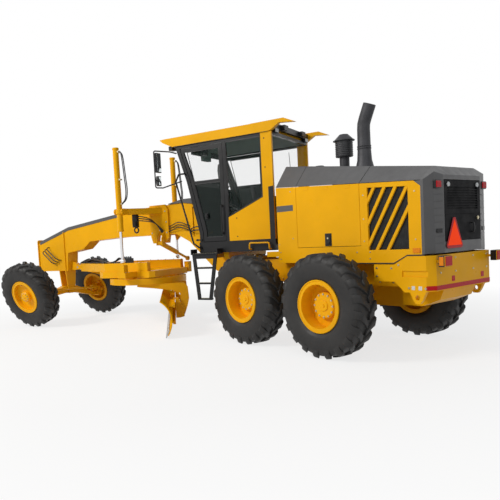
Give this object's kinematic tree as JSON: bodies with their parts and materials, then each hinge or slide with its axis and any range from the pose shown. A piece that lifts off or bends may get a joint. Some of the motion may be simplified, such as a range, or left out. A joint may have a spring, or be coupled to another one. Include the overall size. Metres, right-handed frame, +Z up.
{
  "type": "motor grader",
  "caption": "Articulated six-wheeled road grader with a cab, a hooded rear engine, leaning steered front wheels and a long curved blade under a turning circle.",
  "frame": {"origin": "middle of the parked machine's outline, on the ground", "axes": "+X forward along the rear frame, +Y to its left, +Z up; the front frame is turned 22 degrees to the left"},
  "size_m": [9.3123, 4.4811, 3.405],
  "materials": {
    "yellow_paint": "semi-gloss",
    "grey_paint": "satin",
    "black_paint": "semi-gloss",
    "tyre_rubber": "matte",
    "hose_rubber": "matte",
    "glass": "clear",
    "chrome_rod": "polished",
    "bare_steel": "worn",
    "seat_cloth": "matte",
    "dark_plastic": "matte"
  },
  "bodies": {
    "rear_frame": {"rear_frame": "yellow_paint", "tandem_axle": "yellow_paint", "engine": "black_paint", "hood_sides": "yellow_paint", "hood_top": "grey_paint", "counterweight": "yellow_paint", "exhaust_and_precleaner": "grey_paint"},
    "engine_door_left": {"engine_door_left": "yellow_paint"},
    "engine_door_right": {"engine_door_right": "yellow_paint"},
    "grille_door": {"grille_door": "grey_paint"},
    "front_frame": {"main_frame": "yellow_paint", "nose_hoses": "hose_rubber", "neck_cover": "black_paint", "lift_saddle": "yellow_paint", "front_axle": "yellow_paint", "cab_base": "yellow_paint", "cab_corners": "yellow_paint", "cab_frame": "black_paint", "cab_glass": "glass", "cab_roof": "yellow_paint", "operator_seat": "seat_cloth", "control_console": "dark_plastic", "ladders_and_rails": "black_paint"},
    "cab_door_left": {"cab_door_left": "black_paint"},
    "cab_door_right": {"cab_door_right": "black_paint"},
    "lean_yoke_left": {"lean_yoke_left": "yellow_paint"},
    "lean_yoke_right": {"lean_yoke_right": "yellow_paint"},
    "lean_bar": {"lean_bar": "yellow_paint"},
    "knuckle_left": {"knuckle_left": "yellow_paint"},
    "knuckle_right": {"knuckle_right": "yellow_paint"},
    "tie_rod_end": {"tie_rod_end": "bare_steel"},
    "tie_rod": {"tie_rod": "bare_steel"},
    "drawbar_ball": {"drawbar_ball": "bare_steel"},
    "drawbar": {"drawbar": "yellow_paint", "drawbar_hoses": "hose_rubber"},
    "circle": {"circle": "yellow_paint"},
    "blade_cradle": {"blade_cradle": "yellow_paint"},
    "moldboard": {"moldboard": "yellow_paint", "cutting_edge": "bare_steel"},
    "shift_cylinder": {"shift_cylinder": "yellow_paint"},
    "wheel_mid_left": {"tyre_mid_left": "tyre_rubber", "rim_mid_left": "yellow_paint"},
    "wheel_rear_left": {"tyre_rear_left": "tyre_rubber", "rim_rear_left": "yellow_paint"},
    "wheel_front_left": {"tyre_front_left": "tyre_rubber", "rim_front_left": "yellow_paint"},
    "lift_barrel_left": {"lift_barrel_left": "yellow_paint"},
    "lift_rod_left": {"lift_rod_left": "chrome_rod"},
    "art_barrel_left": {"art_barrel_left": "yellow_paint"},
    "art_rod_left": {"art_rod_left": "chrome_rod"},
    "wheel_mid_right": {"tyre_mid_right": "tyre_rubber", "rim_mid_right": "yellow_paint"},
    "wheel_rear_right": {"tyre_rear_right": "tyre_rubber", "rim_rear_right": "yellow_paint"},
    "wheel_front_right": {"tyre_front_right": "tyre_rubber", "rim_front_right": "yellow_paint"},
    "lift_barrel_right": {"lift_barrel_right": "yellow_paint"},
    "lift_rod_right": {"lift_rod_right": "chrome_rod"},
    "art_barrel_right": {"art_barrel_right": "yellow_paint"},
    "art_rod_right": {"art_rod_right": "chrome_rod"}
  },
  "joints": [
    {"name": "mid_wheel_left_roll", "type": "hinge", "parent": "rear_frame", "child": "wheel_mid_left", "pos_m": [-1.7062, 0.0515, 0.68], "axis": [0, 1, 0], "continuous": true},
    {"name": "rear_wheel_left_roll", "type": "hinge", "parent": "rear_frame", "child": "wheel_rear_left", "pos_m": [-3.2462, 0.0515, 0.68], "axis": [0, 1, 0], "continuous": true},
    {"name": "mid_wheel_right_roll", "type": "hinge", "parent": "rear_frame", "child": "wheel_mid_right", "pos_m": [-1.7062, -2.0485, 0.68], "axis": [0, 1, 0], "continuous": true},
    {"name": "rear_wheel_right_roll", "type": "hinge", "parent": "rear_frame", "child": "wheel_rear_right", "pos_m": [-3.2462, -2.0485, 0.68], "axis": [0, 1, 0], "continuous": true},
    {"name": "engine_door_left_hinge", "type": "hinge", "parent": "rear_frame", "child": "engine_door_left", "pos_m": [-2.9762, -0.3185, 2.25568], "axis": [0.9974, 0, 0.0717], "range_deg": [0, 95]},
    {"name": "engine_door_right_hinge", "type": "hinge", "parent": "rear_frame", "child": "engine_door_right", "pos_m": [-2.9762, -1.6785, 2.25568], "axis": [-0.9974, 0, -0.0717], "range_deg": [0, 95]},
    {"name": "grille_door_hinge", "type": "hinge", "parent": "rear_frame", "child": "grille_door", "pos_m": [-4.5162, -0.5985, 1.795], "axis": [0, 0, -1], "range_deg": [0, 110]},
    {"name": "articulation", "type": "hinge", "parent": "rear_frame", "child": "front_frame", "pos_m": [-0.8262, -0.9985, 1.045], "axis": [0, 0, 1], "range_deg": [-45, 1]},
    {"name": "art_barrel_left_pin", "type": "hinge", "parent": "rear_frame", "child": "art_barrel_left", "pos_m": [-1.5762, -0.4785, 1.045], "axis": [0, 0, 1], "range_deg": [-10.18, 10.18]},
    {"name": "art_rod_left_slide", "type": "slide", "parent": "art_barrel_left", "child": "art_rod_left", "axis": [0.9902, -0.14, 0], "range_m": [-0.00898, 0.272]},
    {"name": "art_barrel_right_pin", "type": "hinge", "parent": "rear_frame", "child": "art_barrel_right", "pos_m": [-1.5762, -1.5185, 1.045], "axis": [0, 0, 1], "range_deg": [-10.18, 10.18]},
    {"name": "art_rod_right_slide", "type": "slide", "parent": "art_barrel_right", "child": "art_rod_right", "axis": [0.955, 0.2966, 0], "range_m": [-0.272, 0.00898]},
    {"name": "cab_door_left_hinge", "type": "hinge", "parent": "front_frame", "child": "cab_door_left", "pos_m": [-0.92737, -0.20351, 2.38], "axis": [0, 0, 1], "range_deg": [0, 95]},
    {"name": "cab_door_right_hinge", "type": "hinge", "parent": "front_frame", "child": "cab_door_right", "pos_m": [-0.34673, -1.64065, 2.38], "axis": [0, 0, -1], "range_deg": [0, 95]},
    {"name": "lean_left", "type": "hinge", "parent": "front_frame", "child": "lean_yoke_left", "pos_m": [3.26733, 1.60302, 0.59987], "axis": [0.9272, 0.3746, 0], "range_deg": [0, 40]},
    {"name": "lean_right", "type": "hinge", "parent": "front_frame", "child": "lean_yoke_right", "pos_m": [3.92561, -0.02628, 0.5016], "axis": [0.9272, 0.3746, 0], "range_deg": [0, 40]},
    {"name": "lean_bar_pin", "type": "hinge", "parent": "lean_yoke_left", "child": "lean_bar", "pos_m": [3.39017, 1.69941, 0.74347], "axis": [0.9272, 0.3746, 0], "range_deg": [-40, 0]},
    {"name": "steer_left", "type": "hinge", "parent": "lean_yoke_left", "child": "knuckle_left", "pos_m": [3.25109, 1.64322, 0.74347], "axis": [-0.1083, 0.268, 0.9573], "range_deg": [-45, 45]},
    {"name": "front_wheel_left_roll", "type": "hinge", "parent": "knuckle_left", "child": "wheel_front_left", "pos_m": [3.19012, 1.79411, 0.69433], "axis": [-0.3586, 0.8876, -0.289], "continuous": true},
    {"name": "steer_right", "type": "hinge", "parent": "lean_yoke_right", "child": "knuckle_right", "pos_m": [3.90937, 0.01392, 0.6452], "axis": [-0.1083, 0.268, 0.9573], "range_deg": [-45, 45]},
    {"name": "front_wheel_right_roll", "type": "hinge", "parent": "knuckle_right", "child": "wheel_front_right", "pos_m": [3.97033, -0.13697, 0.69433], "axis": [-0.3586, 0.8876, -0.289], "continuous": true},
    {"name": "tie_rod_end_turn", "type": "hinge", "parent": "knuckle_left", "child": "tie_rod_end", "pos_m": [3.06403, 1.57232, 0.75783], "axis": [-0.1083, 0.268, 0.9573], "range_deg": [-45, 45]},
    {"name": "tie_rod_tilt", "type": "hinge", "parent": "tie_rod_end", "child": "tie_rod", "pos_m": [3.06403, 1.57232, 0.75783], "axis": [0.9272, 0.3746, 0], "range_deg": [-40, 0]},
    {"name": "drawbar_swing", "type": "hinge", "parent": "front_frame", "child": "drawbar_ball", "pos_m": [3.20705, 0.63104, 1.18], "axis": [0, 0, 1], "range_deg": [-15, 15]},
    {"name": "drawbar_lift", "type": "hinge", "parent": "drawbar_ball", "child": "drawbar", "pos_m": [3.20705, 0.63104, 1.18], "axis": [-0.3746, 0.9272, 0], "range_deg": [-17.7, 10.5]},
    {"name": "lift_barrel_left_pin", "type": "hinge", "parent": "front_frame", "child": "lift_barrel_left", "pos_m": [1.03408, 0.72378, 2.22], "axis": [0.9272, 0.3746, 0], "range_deg": [-30, 30]},
    {"name": "lift_rod_left_slide", "type": "slide", "parent": "lift_barrel_left", "child": "lift_rod_left", "axis": [0, 0, 1], "range_m": [-0.6105, 0.3645]},
    {"name": "lift_barrel_right_pin", "type": "hinge", "parent": "front_frame", "child": "lift_barrel_right", "pos_m": [1.70837, -0.94515, 2.22], "axis": [0.9272, 0.3746, 0], "range_deg": [-30, 30]},
    {"name": "lift_rod_right_slide", "type": "slide", "parent": "lift_barrel_right", "child": "lift_rod_right", "axis": [0, 0, 1], "range_m": [-0.6105, 0.3645]},
    {"name": "shift_cylinder_pin", "type": "hinge", "parent": "front_frame", "child": "shift_cylinder", "pos_m": [0.88816, -0.03622, 1.6], "axis": [0.9272, 0.3746, 0], "range_deg": [-27.5, 46]},
    {"name": "circle_turn", "type": "hinge", "parent": "drawbar", "child": "circle", "pos_m": [1.49176, -0.06198, 0.89], "axis": [0, 0, -1], "continuous": true},
    {"name": "blade_tip", "type": "hinge", "parent": "circle", "child": "blade_cradle", "pos_m": [1.14319, -0.59873, 0.25], "axis": [-0.8387, 0.5446, 0], "range_deg": [-5, 40]},
    {"name": "blade_shift", "type": "slide", "parent": "blade_cradle", "child": "moldboard", "axis": [-0.8387, 0.5446, 0], "range_m": [-0.66, 0.5]}
  ],
  "couplings": [
    {"joint": "art_barrel_left_pin", "follows": "articulation", "ratio": 0.204},
    {"joint": "art_rod_left_slide", "follows": "articulation", "m_per_rad": -0.3425},
    {"joint": "art_barrel_right_pin", "follows": "articulation", "ratio": 0.204},
    {"joint": "art_rod_right_slide", "follows": "articulation", "m_per_rad": 0.3425},
    {"joint": "lean_right", "follows": "lean_left", "ratio": 1},
    {"joint": "lean_bar_pin", "follows": "lean_left", "ratio": -1},
    {"joint": "steer_right", "follows": "steer_left", "ratio": 1},
    {"joint": "tie_rod_end_turn", "follows": "steer_left", "ratio": -1},
    {"joint": "tie_rod_tilt", "follows": "lean_left", "ratio": -1},
    {"joint": "lift_barrel_left_pin", "follows": "drawbar_swing", "ratio": -1.94},
    {"joint": "lift_rod_left_slide", "follows": "drawbar_lift", "m_per_rad": 1.96},
    {"joint": "lift_barrel_right_pin", "follows": "drawbar_swing", "ratio": -1.94},
    {"joint": "lift_rod_right_slide", "follows": "drawbar_lift", "m_per_rad": 1.96},
    {"joint": "shift_cylinder_pin", "follows": "drawbar_lift", "ratio": -2.575}
  ]
}
